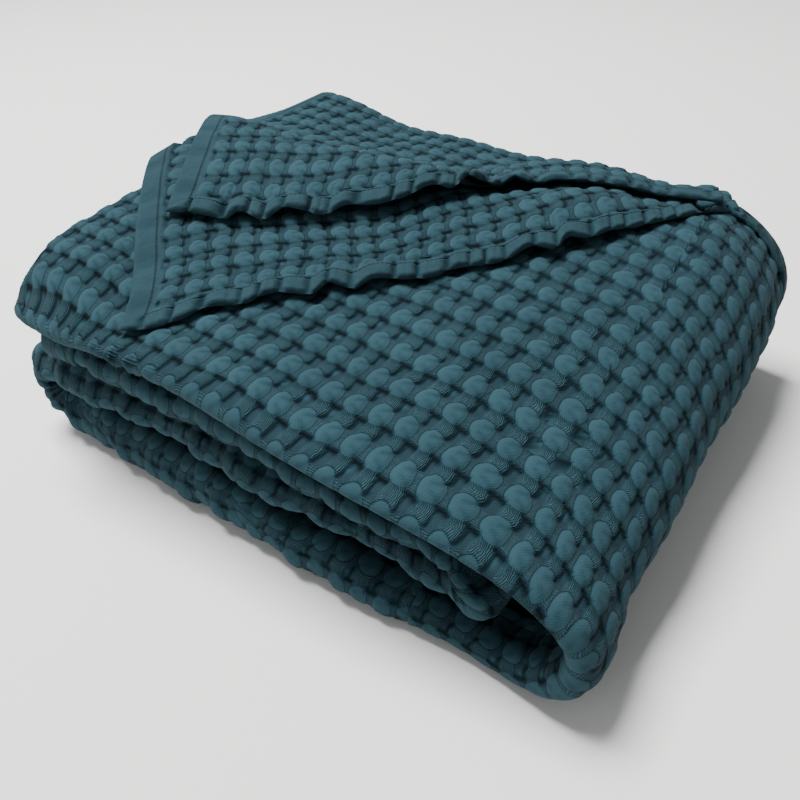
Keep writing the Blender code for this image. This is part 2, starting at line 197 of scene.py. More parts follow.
# ---- the strip's path, sampled closely
FIELDS = ("x", "z", "nx", "nz", "thick", "front", "second_hem", "top_hem", "sunk", "puff",
          "top", "bow", "lean", "inner")
ROLL_OUT = 0.010  # how far past its left end the top run is drawn, to roll down over the end
LOBE, LOBE_LEVEL, LOBE_SPAN = 0.007, 0.058, 0.018  # the lower roll's left turn bellies out
ROLL_FROM, BACK_LEFT = -0.002, 0.012  # where the top run starts to roll down; further left towards the back
BACK_LEFT_FRONT, BACK_LEFT_BACK = (0.5 * CELL, 5 * CELL), (15 * CELL, 18 * CELL)
STRIP_STIFF, PANEL_STIFF, ROLL_SLOPE = 0.004, 0.018, 0.8  # how far cloth goes on outwards; how steeply down
TOP_HELD = 0.5  # the top ply rolls down only by this share
PATH_STEP, TURN_STEPS = 0.0015, 64


def strip_path():
    """Arrays along the path, one row per sample: straight runs every 1.5 mm, turns as half ellipses."""
    runs = [dict(zip(RUN_COLUMNS, row)) for row in RUNS]
    top, second, third, bottom = runs
    level_top = STACK - top["thick"]
    level_second = level_top - RUN_GAP
    level_third = level_second - second["thick"] - RUN_GAP - third["thick"]
    level_bottom = level_third - RUN_GAP
    left_turn = third["left"] + (third["thick"] + bottom["thick"]) / 2
    pieces = []

    def add(**values):
        """A stretch of the path: each field as given, or 0."""
        count = len(values["x"])
        full = [np.broadcast_to(np.asarray(values.get(name, 0.0), float), count) for name in FIELDS]
        pieces.append(np.stack(full, axis=1))

    def straight(start, end, **values):
        """A level stretch, with even steps from start to end."""
        x = np.linspace(start, end, max(int(abs(end - start) / PATH_STEP), 2))
        values = {name: value(x) if callable(value) else value for name, value in values.items()}
        add(x=x, **values)

    def turn(kind, before, after, x, z_from, z_to, reach, square=1.0, toe=0.0, **values):
        """Half an ellipse from one level to the next, squarer below its middle where square is under 1."""
        share = np.linspace(0.0, 1.0, TURN_STEPS)[1:-1]
        angle = math.pi * share
        middle, half = (z_from + z_to) / 2, (z_from - z_to) / 2
        power = np.where(share > 0.5, square, 1.0)
        out = np.sin(angle) ** power
        go_x = reach * power * np.cos(angle) * out / np.sin(angle)
        go_z = -half * np.sin(angle)
        size = np.hypot(go_x, go_z)
        blend = smooth(share)
        wide = kind == "wide"
        if wide:
            thick = mix(before["thick"], TURN_FOOT, between(FOOT_FROM, 1.0, share))
        else:
            thick = mix(before["thick"], after["thick"], blend)
        add(x=x + reach * out, z=middle + half * np.cos(angle), nx=-go_z / size, nz=go_x / size, thick=thick,
            front=mix(before["front"] + toe, after["front"], blend), sunk=blend if wide else 1.0,
            puff=np.sin(angle) if wide else 0.0, **values)

    side = dict(second_hem=SIDE_HEM, top_hem=SIDE_HEM, sunk=1.0)
    straight(top["left"] - ROLL_OUT, OUTER_TURN, z=level_top, nz=1.0, thick=top["thick"], front=top["front"],
             second_hem=lambda x: along(SECOND_HEM, x / CELL) * CELL,
             top_hem=lambda x: along(TOP_HEM, x / CELL) * CELL, top=1.0, bow=1.0)
    turn("wide", top, bottom, OUTER_TURN, level_top, TURN_FOOT, TURN_REACH, TURN_SQUARE,
         second_hem=BACK_HEM, top_hem=BACK_HEM, lean=1.0)

    def gone(x, share):
        """Soft step along the bottom run, from 0 at the wide turn to 1 at a share of its length."""
        return smooth((OUTER_TURN - x) / (OUTER_TURN - left_turn) / share)

    def hems(x):
        """The hems come back from the wide turn's to the side's."""
        return mix(BACK_HEM, SIDE_HEM, gone(x, HEM_RETURN))

    def thickness(x):
        """The bottom run thickens from the wide turn's foot."""
        return mix(TURN_FOOT, bottom["thick"], gone(x, FOOT_TO))

    straight(OUTER_TURN, left_turn, z=thickness, nz=-1.0, thick=thickness, lean=1.0, sunk=1.0,
             front=lambda x: bottom["front"] + TOE * (1.0 - smooth(x / TOE_PART)),
             second_hem=hems, top_hem=hems)
    turn("left", bottom, third, left_turn, level_bottom, level_third, -RUN_GAP / 2, toe=TOE, lean=1.0,
         second_hem=SIDE_HEM, top_hem=SIDE_HEM)
    straight(left_turn, INNER_TURN, z=level_third, nz=1.0, thick=third["thick"], front=third["front"],
             lean=1.0, inner=1.0, **side)
    turn("inner", third, second, INNER_TURN, level_third, level_second, (level_second - level_third) / 2,
         inner=1.0, second_hem=SIDE_HEM, top_hem=SIDE_HEM)
    straight(INNER_TURN, second["left"], z=level_second, nz=-1.0, thick=second["thick"],
             front=second["front"], inner=1.0, bow=1.0, **side)
    ends = np.cumsum([len(piece) for piece in pieces])
    return np.concatenate(pieces), [0, *ends]


PATH, RUN_ENDS = strip_path()


def path_at(places):
    """The path's fields at fractional sample numbers."""
    steps = np.arange(len(PATH))
    fields = {name: np.interp(places, steps, PATH[:, column]) for column, name in enumerate(FIELDS)}
    size = np.hypot(fields["nx"], fields["nz"])
    fields["nx"], fields["nz"] = fields["nx"] / size, fields["nz"] / size
    return fields


# ---- the strip's section
SECTION_FIELDS = ("y", "w", "on_top", "on_second")


def section(path):
    """Middle line of the cloth across the strip at every path sample, from one free hem to the other.

    Plies are straight lines at their own distance w from the path, folds are half ellipses between two plies.
    Returns (samples, points, fields) and the number of the point where the third ply starts.
    """
    half = CLOTH / 2
    slack = np.maximum((path["thick"] - 4 * CLOTH) / 3, FREE_SLACK)
    pitch = CLOTH + slack
    bulged = path["thick"] - half
    third = mix(bulged, half + pitch, path["sunk"])
    turned = (1.0 - path["top"]) * smooth(path["puff"] * 3)
    tight = 1.0 - 0.5 * turned
    second, top = third + pitch * tight, third + 2 * pitch * tight
    bulge = np.minimum(0.5 * path["thick"], FRONT_BULGE)
    front = path["front"] + bulge
    outer_back = DEPTH - OUTER_BULGE - TURN_STEP * turned
    inner_back = DEPTH - mix(INNER_FOLD, TURN_FOLD, turned)
    line = []

    def point(y, w, on_top=0.0, on_second=0.0):
        """A point of the section, at depth y and distance w from the path."""
        line.append([np.broadcast_to(value, path["thick"].shape) for value in (y, w, on_top, on_second)])

    def fold(y, reach, w_from, w_to, count, **flags):
        """Half an ellipse between two distances from the path, reaching out past y."""
        for angle in np.linspace(0.0, math.pi, count + 2)[1:-1]:
            point(y + reach * math.sin(angle), mix(w_from, w_to, (1 - math.cos(angle)) / 2), **flags)

    point(np.minimum(path["top_hem"], outer_back - HEM_CLEAR), top, on_top=1.0)
    point(outer_back, top, on_top=1.0)
    fold(outer_back, OUTER_BULGE, top, half, 9)
    point(outer_back, half)
    point(front, half)
    fold(front, -bulge, half, bulged, 11)
    start = len(line)
    point(front, bulged)
    for share in (0.0, 0.25, 0.5, 0.75, 1.0):
        point(mix(DEPTHS[0], DEPTHS[1], share), mix(bulged, third, smooth(share)))
    fullest = np.minimum(np.maximum(DEPTHS[4], path["second_hem"] - 1.5 * CELL), PUFF_DEPTH)
    for depth, share in zip((DEPTHS[2], DEPTHS[3], fullest), PUFF_SHARES[1:]):
        point(depth, third + PUFF * path["puff"] * share)
    point(inner_back, third)
    fold(inner_back, INNER_BULGE, third, second, 6)
    point(inner_back, second, on_second=1.0)
    point(np.minimum(path["second_hem"], inner_back - HEM_CLEAR), second, on_second=1.0)
    return np.array(line).transpose(2, 0, 1), start


def ply_lift(x, y, share):
    """Lift of a free ply over the third one: a bell across the ridge line, as high as LIFT says."""
    cx, cy = x / CELL, y / CELL
    ridge = along(RIDGE, cx)
    reach = np.where(cy < ridge, RIDGE_FRONT, RIDGE_BACK)
    fade = 1.0 - between(20.0, 21.6, cx)
    return curve(*zip(*LIFT), cx) * CELL * fade * bell(cy, ridge, reach) * share


def place(path, fields):
    """Points of the cloth in space: out from the path, leaned, lifted, and pressed out of level."""
    y, w, on_top, on_second = (fields[..., column] for column in range(4))
    spread = {name: values[:, None] for name, values in path.items()}
    x = spread["x"] + spread["nx"] * w
    z = spread["z"] + spread["nz"] * w
    left = 1.0 - smooth(spread["x"] / LEFT_PART)
    x = x - SECOND_OUT * left * on_second * spread["top"]
    low = bell(np.maximum(w, 0.0), 0.0, LOW_BOW_LEVEL) * spread["top"] * LOW_BOW
    bow = END_BOW * (1.0 - smooth(y / END_BOW_DEPTH)) + low * (1.0 - smooth(y / LOW_BOW_DEPTH))
    x = x + bow * left * spread["bow"]
    x = x + LEFT_LEAN * (1.0 - smooth(z / LEFT_LEAN_TOP)) * left * spread["lean"]
    x = x + INNER_LEAN * (1.0 - between(*INNER_LEAN_HEIGHTS, z)) * between(*INNER_PART, x) * spread["inner"]
    x = x - BACK_PULL * between(*BACK_PULL_DEPTHS, y) * between(*BACK_PART, x)
    x = x - LOBE * bell(z, LOBE_LEVEL, LOBE_SPAN) * left * spread["lean"]
    z = z + spread["top"] * ply_lift(x, y, on_top + SECOND_LIFT * on_second)
    bend = 2 * math.pi * (x / SWAY_LENGTH + spread["z"] / SWAY_HEIGHT)
    sway = SWAY * np.sin(bend) * np.exp(-np.maximum(y, 0.0) / SWAY_DEPTH)
    height = third_ply_top(x, y)
    z = np.where(z > STACK, height + (z - STACK), z * height / STACK)
    start = ROLL_FROM - BACK_LEFT * between(*BACK_LEFT_FRONT, y) * (1.0 - between(*BACK_LEFT_BACK, y))
    rolled = spread["top"] * (1 - TOP_HELD * on_top)
    return roll_over(np.stack([x, y + sway, z], axis=-1), rolled, start, STRIP_STIFF)


def roll_over(points, amount, left, stiff):
    """Cloth past the stack's left end turns down over it: outwards it goes on by stiff at most, along an
    exponential, and past half of stiff it goes down along a slope.
    """
    over = np.maximum(left - points[..., 0], 0.0) * amount
    points = points.copy()
    points[..., 0] += over - stiff * (1 - np.exp(-over / stiff))
    points[..., 2] -= ROLL_SLOPE * np.maximum(over - stiff / 2, 0.0)
    return points


# ---- the weave
def cell_noise(i, j, seed):
    """A number from 0 to 1 for each weave repeat: the fraction of a large sine."""
    value = np.sin(i * 127.1 + j * 311.7 + seed * 74.7) * 43758.5453
    return value - np.floor(value)


def vary(i, j, seed, spread):
    """A random part of up to half of spread either way, for each weave repeat."""
    return spread * (cell_noise(i, j, seed) - 0.5)


def level_of(levels, i, j, seed):
    """A least height plus a random part, for each weave repeat."""
    least, extra = levels
    return least + extra * cell_noise(i, j, seed)


def dome(radius, steep, blunt=0.5):
    """1 in the middle, 0 from radius 1 on: a root of 1 less a power of the radius, so its sides are steep."""
    return np.clip(1.0 - radius ** steep, 0.0, 1.0) ** blunt


def weave(a, b):
    """Relief of the weave at (a, b), counted in repeats along and across, with a pad at each whole number.

    A pad is flat, with steep sides and a superellipse outline that wobbles a little. Along a row, a short
    bundle of straight loose threads joins two pads, lower than they are. Across the rows, a curl of loose
    threads bulges out to one side, as the round half of a disc. The rest is the smooth floor of a hollow,
    here and there with a small knot. The highest of these is taken. Returns the height from 0 to 1; how far,
    in millimetres, the point is inside a pad, a bundle and a curl; the distances across the bundle's and the
    curl's threads; and how much painted shade the colour gets there, for the shadow that falls most just
    below a row of pads and just past a curl's round side.
    """
    drift = DRIFTS[0] * np.sin(0.9 * a + 1.7 * b) + DRIFTS[1] * np.sin(2.3 * b - 1.1 * a + 1.0)
    a = a + drift
    b = b + DRIFTS[2] * np.sin(1.3 * a - 0.8 * b + 2.0)
    i, j = np.round(a), np.round(b)
    u, v = a - i, b - j
    size = level_of(PAD_SIZE, i, j, 1)
    along_pad, across_pad = np.abs(u) / (PAD_ALONG * size), np.abs(v) / (PAD_ACROSS * size)
    angle = np.arctan2(v, u)
    wobble = 1.0 + PAD_WOBBLES[0] * np.sin(3 * angle + 6.0 * cell_noise(i, j, 13)) \
        + PAD_WOBBLES[1] * np.sin(5 * angle + 9.0 * cell_noise(i, j, 14))
    radius = (along_pad ** PAD_SQUARE + across_pad ** PAD_SQUARE) ** (1 / PAD_SQUARE) * wobble
    tilt = vary(i, j, 2, PAD_TILTS[0]) * u / PAD_ALONG + vary(i, j, 3, PAD_TILTS[1]) * v / PAD_ACROSS
    pad = dome(radius, PAD_STEEP) * level_of(PAD_LEVEL, i, j, 4) * (1 + tilt)

    half_a = np.floor(a)
    gap = a - half_a - 0.5
    width = BUNDLE + vary(half_a, j, 5, BUNDLE_VARY)
    sag = 1 - BUNDLE_SAG * np.cos(math.pi * gap) ** 4
    bundle = dome(np.abs(v / width), BUNDLE_STEEP) * level_of(BUNDLE_LEVEL, half_a, j, 6) * sag

    half_b = np.floor(b)
    rung = b - half_b - 0.5
    past = u - CURL_BACK - vary(i, half_b, 7, CURL_SHIFT)
    breadth = CURL_ALONG + vary(i, half_b, 8, CURL_VARY)
    turn = np.sqrt((past / breadth) ** 2 + (rung / CURL_ACROSS) ** 2)
    rise = smooth((past + CURL_RISE) / CURL_RISE)
    hollow = CURL_MIDDLE + CURL_RIM * turn
    curl = dome(turn, CURL_STEEP) * rise * hollow * level_of(CURL_LEVEL, i, half_b, 9)

    knot_here = cell_noise(half_a, half_b, 10) > KNOT_RARE
    knot = np.clip(1.0 - (gap / KNOT_ALONG) ** 2 - (rung / KNOT_ACROSS) ** 2, 0.0, 1.0) ** 0.5
    knot = knot * KNOT_LEVEL * knot_here
    floor = FLOOR_SWELL * np.cos(math.pi * gap) * np.cos(math.pi * rung)
    height = np.maximum.reduce([pad, bundle, curl, knot, floor])

    in_pad = (1.0 - radius) * PAD_MM
    in_bundle = (width - np.abs(v)) * ROW_MM
    in_curl = np.minimum((1.0 - turn) * CURL_MM, (past + CURL_START) * CELL_MM)
    # painted shade: darkest just below a row of pads and just past a curl's round side, less on the threads
    # themselves
    below_row = bell(np.maximum(in_pad, in_bundle), *ROW_SHADE) * smooth((SIDE_STEP / 2 - v) / SIDE_STEP)
    past_curl = bell(in_curl, *CURL_SHADE) * smooth(past / SIDE_STEP)
    open_floor = 1.0 - smooth((np.maximum.reduce([in_pad, in_bundle, in_curl]) + 0.1) / 0.8)
    crevice_shade = np.maximum(below_row, CURL_SHARE * past_curl) * mix(ON_THREADS, 1.0, open_floor)
    inside = [np.clip(depth, -DEPTH_KEPT, DEPTH_KEPT) for depth in (in_pad, in_bundle, in_curl)]

    fray = FRAY * np.sin(13.0 * a + 5.0 * v) * np.sin(11.0 * b + 3.0 * u)
    arc = breadth * np.sqrt(((past + ARC_BACK) / breadth) ** 2 + (rung / CURL_ACROSS) ** 2)
    return height, inside, (v * ROW + fray, arc * CELL + fray), crevice_shade


def surface_normals(points):
    """Unit normals of a grid of points: the cross product of its two directions."""
    normal = np.cross(np.gradient(points, axis=0), np.gradient(points, axis=1))
    return normal / np.maximum(np.linalg.norm(normal, axis=-1, keepdims=True), 1e-12)


def slow_waves(a, b):
    """Gentle unevenness of soft cloth: three crossing waves a few repeats long."""
    waves = np.sin(0.71 * a + 0.33 * b) + np.sin(0.41 * b - 0.52 * a + 2.1) + np.sin(1.13 * b + 0.6)
    return SLOW_WAVE * waves


def crumples(a, b):
    """Sharper unevenness of cloth squeezed in a stack: two crossing waves two repeats long."""
    return CRUMPLE * (np.sin(3.1 * a + 1.3 * np.sin(1.7 * b)) + np.sin(2.3 * b + 1.9 * a))


ATTRIBUTES = ("in_pad", "in_bundle", "in_curl", "bundle_lay", "curl_lay", "crevice_shade", "height", "plain",
              "edge", "run", "shade")
STRIDE = 4  # the slab's inner side has every fourth point of its outer side


def cloth_piece(name, middle, a, b, plain, edge, run, crest=None, rims=(1, 1, 1, 1), ruckle=1.0):
    """Closed slab of cloth on a middle surface, with the weave raised on the side it faces.

    The outer side is the middle surface plus the relief along its normals; the inner side is every STRIDE-th
    point, half a thickness the other way. Within RIM of a rim both sides close in on a quarter circle. Where
    the surface bends more tightly than TIGHT_FOLD, the relief is pressed flat. plain is 1 on hems, where
    there is no weave; crest is a hem's own relief; edge is the distance from the hem's edge and run the place
    along it; a and b become the UV map; rims says which of the four rims (first row, last row, first column,
    last column) are rounded; ruckle is how crumpled the piece is, 1 for smooth.
    """
    shape = middle.shape[:2]
    normal = surface_normals(middle)
    a, b, plain = (np.broadcast_to(values, shape) for values in (a, b, plain))
    height, depths, lays, crevice_shade = weave(a, b)
    # painted shade in a hem's pinches, darker the deeper they are drawn in
    gather_shade = 0.0 if crest is None else np.clip(-crest / GATHER, 0.0, 1.0)
    bend = [np.linalg.norm(np.gradient(normal, axis=axis), axis=-1)
            / np.maximum(np.linalg.norm(np.gradient(middle, axis=axis), axis=-1), 1e-5) for axis in (0, 1)]
    pressed = 1.0 / (1.0 + (np.maximum(*bend) * TIGHT_FOLD / ruckle) ** 2)
    uneven = slow_waves(a, b) * min(ruckle, MOST_WAVES)
    woven = SEAT + PAD * height * pressed + uneven + crumples(a, b) * (ruckle - 1.0)
    outer = mix(woven, HEM_THICK / 2, plain)
    if crest is not None:
        outer = outer + crest
    down, right = travelled(middle, 0), travelled(middle, 1)
    reach = np.full(shape, 1.0)
    for wanted, distance in zip(rims, (down, down[-1:] - down, right, right[:, -1:] - right)):
        if wanted:
            near = np.clip(distance / RIM, 0.0, 1.0)
            reach = np.minimum(reach, RIM_LEFT + (1.0 - RIM_LEFT) * np.sqrt(1.0 - (1.0 - near) ** 2))
    outside = middle + normal * (outer * reach)[..., None]
    inside = (middle - normal * (HEM_THICK / 2 * reach)[..., None])[::STRIDE, ::STRIDE]
    number = np.arange(a.size).reshape(shape)
    under = a.size + np.arange(inside[..., 0].size).reshape(inside.shape[:2])

    def quads(grid):
        """The four-cornered faces of a grid of point numbers."""
        corners = (grid[:-1, :-1], grid[1:, :-1], grid[1:, 1:], grid[:-1, 1:])
        return np.stack([corner.ravel() for corner in corners], axis=1)

    faces = [quads(number), quads(under)[:, [0, 3, 2, 1]]]
    for border, line, forward in ((number[0], under[0], True), (number[-1], under[-1], False),
                                (number[:, 0], under[:, 0], False), (number[:, -1], under[:, -1], True)):
        starts = np.arange(0, len(border) - 1, STRIDE)
        corners = [border[starts + step] for step in range(STRIDE + 1)] + [line[1:], line[:-1]]
        faces.append(np.stack(corners if forward else corners[::-1], axis=1))
    points = np.concatenate([outside.reshape(-1, 3), inside.reshape(-1, 3)]) - ORIGIN
    points[:, 2] = np.maximum(points[:, 2], 0.0)
    mesh = bpy.data.meshes.new(name)
    mesh.vertices.add(len(points))
    mesh.vertices.foreach_set("co", points.astype(np.float32).ravel())
    loops = np.concatenate([part.ravel() for part in faces]).astype(np.int32)
    sizes = np.concatenate([np.full(len(part), part.shape[1]) for part in faces])
    mesh.loops.add(len(loops))
    mesh.loops.foreach_set("vertex_index", loops)
    mesh.polygons.add(len(sizes))
    mesh.polygons.foreach_set("loop_start", np.concatenate([[0], np.cumsum(sizes)[:-1]]).astype(np.int32))
    mesh.update(calc_edges=True)
    mesh.validate()
    mesh.shade_smooth()

    def everywhere(values):
        """Values for the points of the outer and then the inner side."""
        values = np.broadcast_to(values, shape)
        return np.concatenate([values.ravel(), values[::STRIDE, ::STRIDE].ravel()]).astype(np.float32)

    uv = mesh.uv_layers.new(name="cloth")
    pairs = np.stack([everywhere(a), everywhere(b)], axis=1)
    indices = np.empty(len(mesh.loops), dtype=np.int32)
    mesh.loops.foreach_get("vertex_index", indices)
    uv.data.foreach_set("uv", pairs[indices].ravel())
    shade = cell_noise(np.round(a), np.round(b), 12)
    # painted shade: in the weave's crevices, and on hems in their pinches
    dark = mix(crevice_shade, gather_shade, plain)
    looks = (*depths, *lays, dark, np.maximum(height, plain), plain, edge, run, shade)
    for label, values in zip(ATTRIBUTES, looks):
        layer = mesh.attributes.new(label, "FLOAT", "POINT")
        layer.data.foreach_set("value", everywhere(values))
    piece = bpy.data.objects.new(name, mesh)
    bpy.context.scene.collection.objects.link(piece)
    return piece


def even(count):
    """The number of points of a grid line that has about count steps, in whole strides."""
    return max(int(round(count / STRIDE)), 1) * STRIDE + 1


# ---- the long strip's own surfaces
def strip_surface(first, last, start_at, end_at, reach_at, spacing):
    """Middle surface of the strip from path sample first to last, between two distances from the third ply.

    Rows are even along the cloth, by the longest way at the given points of the section; columns are even
    across it. The two distances are functions of the path's fields and the section's distances. Returns the
    points, the travel along, the distances across, and the section's own distances.
    """
    rough = np.linspace(first, last, max(int((last - first) * PATH_SAMPLES), 8))
    path = path_at(rough)
    line = place(path, section(path)[0])[:, list(reach_at)]
    travel = np.concatenate([[0.0], np.cumsum(np.linalg.norm(np.diff(line, axis=0), axis=2).max(axis=1))])
    stops = np.linspace(0.0, travel[-1], even(travel[-1] / spacing[0]))
    path = path_at(np.interp(stops, travel, rough))
    lines, start = section(path)
    distance = travelled(lines[..., :2], 1)
    distance -= distance[:, start:start + 1]
    ends = [np.clip(end(path, distance), distance[:, 0], distance[:, -1]) for end in (start_at, end_at)]
    shares = np.linspace(0.0, 1.0, even(np.max(ends[1] - ends[0]) / spacing[1]))
    across = mix(ends[0][:, None], ends[1][:, None], shares[None, :])
    fields = np.empty((len(lines), len(shares), len(SECTION_FIELDS)))
    for station, places in enumerate(across):
        for column in range(len(SECTION_FIELDS)):
            fields[station, :, column] = np.interp(places, distance[station], lines[station, :, column])
    return place(path, fields), stops[:, None], across, distance


TURN_OVERLAP = 0.02  # on the wide turn the top piece goes on this far round the inner back fold
UNDER_HEM = 2.4 * ROW  # and elsewhere this far under the second ply
FOLD_SHARE, FOLD_MOST = 0.6, 0.03  # the front fold's way, in half circles on its height; its most height
TUCK_REACH = 0.022  # how far in from its first edge a piece is tucked
SETTLE_IN, WAVES_IN, RAISED_IN, PULL_IN = 4.0, 1.6, 3.0, 0.8  # repeats in from a hem to where these fade
SIDE_RIPPLE, RIPPLE_FINE, RIPPLE_SLOW = 0.0004, 0.006, 0.017  # the side hems are nearly flat
BAND_STEEP, BAND_BLUNT, FADE_STEEP = 7, 0.6, 1.5  # powers: a hem's two edges, its top, and how waves fade
LINE_SAMPLES, PATH_SAMPLES = 400, 1.5  # points on a hem's curve, and per sample of the path, to even out
PILLOW, WAVE = 1.03, 2.5  # lengths of a hem's pillows and waves, in repeats
CALM_FROM, CALM_AT = 9.0 * CELL, 4.0 * CELL  # before its right end a hem's waves die away
PINCH_IN, PINCH_PULL, WAVE_PULL = 0.0020, 0.0024, 0.0036  # pinches press in; both draw the edge in


def hem_share(edge):
    """1 on a hem, falling to 0 a little way beyond it; edge is the distance from the rim in hem widths."""
    return 1.0 - between(1.0, 1.0 + HEM_FADE, edge)


# spacing of the points along and across: the finest on the two corners, the coarsest out of sight
FINE, BROAD, MEDIUM, ROUGH = (0.0015, 0.0017), (0.00171, 0.0019), (0.0022, 0.0025), (0.0030, 0.0035)
PIECES = []


def declare(piece):
    """Dress a piece of the one cloth: it rides on the root and stands for the solid."""
    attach(piece, "root")
    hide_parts("blanket")
    PIECES.append(piece)


LAY_ALONG, LAY_ACROSS = -0.42, 0.10  # where the first pad lies, in repeats
FRONT_SPREAD, FRONT_FROM, FRONT_FADE = 0.60, 0.7, 1.1
TURN_FROM, TURN_LENGTH, TURN_DRIFT = 20.0, 8.0, (0.03, 0.6, 0.04)
TURN_DRAW, TURN_MIDDLE, TURN_SPREAD = 0.35, 23.5, 2


def as_woven(a, b):
    """Weave coordinates of the top from repeats: rows lie further apart near the front fold, by an
    exponential, and on the wide turn they drift back by the square of the way, and columns draw together by a
    bell.
    """
    turn = np.clip(a - TURN_FROM, 0.0, TURN_LENGTH)
    spread = FRONT_SPREAD * np.exp(-np.maximum(b + FRONT_FROM, 0.0) / FRONT_FADE)
    rows = b + LAY_ACROSS + spread + TURN_DRIFT[0] * turn ** 2 * (TURN_DRIFT[1] + TURN_DRIFT[2] * b)
    return a + LAY_ALONG - TURN_DRAW * bell(a, TURN_MIDDLE, TURN_SPREAD), rows


def strip_piece(name, first, last, start_at, end_at, reach_at, spacing, rims, left_hem=False, right_hem=False,
                laid=None, tuck=0.0, ruckle=1.0, hemmed=True):
    """A piece of the strip's own surface, from path sample first to last and between two distances across.

    hemmed gives it the hems that it reaches along the strip's two sides, left_hem and right_hem those at the
    strip's ends; laid turns repeats into weave coordinates; tuck presses its first edge in along the normal,
    by a bell; ruckle is how crumpled it is.
    """
    points, travel, across, distance = strip_surface(first, last, start_at, end_at, reach_at, spacing)
    side = np.minimum(across - distance[:, :1], distance[:, -1:] - across)
    end = np.full(across.shape, 1.0)
    if left_hem:
        end = np.minimum(end, travel)
    if right_hem:
        end = np.minimum(end, travel[-1] - travel)
    edge = np.minimum(side if hemmed else 1.0, end) / HEM
    plain = hem_share(edge)
    run = np.where(side < end, travel + 0 * across, across)
    a, b = travel / CELL, across / ROW
    a, b = laid(a, b) if laid else (a + 0 * b, b)
    tucked = tuck * bell(across, across[:, :1], TUCK_REACH)
    points = points - surface_normals(points) * tucked[..., None]
    piece = cloth_piece(name, points, a, b, plain, edge, run, rims=rims, ruckle=ruckle)
    declare(piece)


def after_hem(path, distance):
    """Some rows of weave past where the second ply's hem lies over the third ply; on the turn, all of it."""
    return mix(path["second_hem"] + UNDER_HEM, DEPTH + TURN_OVERLAP, 1.0 - path["top"])


def to_fold(path, distance):
    """Where the bottom ply goes into the front fold: over half a circle before the third ply's start."""
    return -(math.pi * FOLD_SHARE * np.minimum(path["thick"], FOLD_MOST) + 0.5 * CELL)


def hem_line(points):
    """An even polyline through smooth curve points in plan, and the distance along it."""
    points = np.asarray(points, float) * CELL
    keys = travelled(points)
    dense = np.linspace(0.0, keys[-1], LINE_SAMPLES)
    line = np.stack([curve(keys, points[:, axis], dense) for axis in (0, 1)], axis=1)
    travel = travelled(line)
    stops = np.linspace(0.0, travel[-1], even(travel[-1] / FINE[0]))
    return np.stack([np.interp(stops, travel, line[:, axis]) for axis in (0, 1)], axis=1), stops


def corner_panel(name, front, side, level, settle, raised, reaches, laid, ruffle):
    """A free ply's turned-back corner: every point is the front hem's point plus the side hem's way from the
    corner. Its height is the third ply's top, its level, its lift, and the hem's waves, which die away
    inwards by exponentials. settle is the share of the lift that the front hem loses; raised gives the hem's
    extra lift; reaches says how many rows back the panel goes, at places along the front hem.
    """
    front_line, stops = hem_line(front)
    side_line, side_stops = hem_line(side)
    reach = along(reaches, stops / CELL) * ROW
    shares = np.linspace(0.0, 1.0, even(np.max(reach) / FINE[1]))
    back = reach[:, None] * shares[None, :]
    way = np.stack([np.interp(back, side_stops, side_line[:, axis] - side_line[0, axis]) for axis in (0, 1)],
                   axis=-1)
    plan = front_line[:, None, :] + way
    x, y = plan[..., 0], plan[..., 1]
    stops = stops[:, None]

    def fade(repeats_in):
        """Fading inwards from the front hem: an exponential of a power of the distance."""
        return np.exp(-(back / (repeats_in * CELL)) ** FADE_STEEP)

    lift = ply_lift(x, y, 1.0)
    a, b = laid(stops / CELL, back / ROW)
    waves, puffs, pull = ruffle(stops)
    z = third_ply_top(x, y) + level + lift
    z = z - settle * lift * fade(SETTLE_IN)
    z = z + (waves - HEM_SINK) * fade(WAVES_IN) - EDGE_DROP * np.clip(1.0 - back / FRONT_HEM, 0.0, 1.0)
    z = z + raised(stops / CELL) * fade(RAISED_IN)
    points = np.stack([x, y, z], axis=-1)
    inward = way[:, -1:, :] / np.maximum(np.linalg.norm(way[:, -1:, :], axis=-1, keepdims=True), 1e-9)
    points[..., :2] += inward * (pull * np.exp(-back / (PULL_IN * CELL)))[..., None]
    points = roll_over(points, np.ones_like(x), RUNS[0][1], PANEL_STIFF)
    end = stops + 0 * back
    in_front = back / FRONT_HEM < end / HEM
    edge = np.where(in_front, back / FRONT_HEM, end / HEM)
    plain = hem_share(edge)
    band = dome(np.abs(2.0 * edge - 1.0), BAND_STEEP, BAND_BLUNT)
    ripple = SIDE_RIPPLE * np.sin(back / RIPPLE_FINE + 0.7 * np.sin(back / RIPPLE_SLOW))
    piece = cloth_piece(name, points, a, b, plain, edge, np.where(in_front, end, back),
                        crest=plain * band * np.where(in_front, puffs, ripple), rims=(1, 0, 1, 0))
    declare(piece)


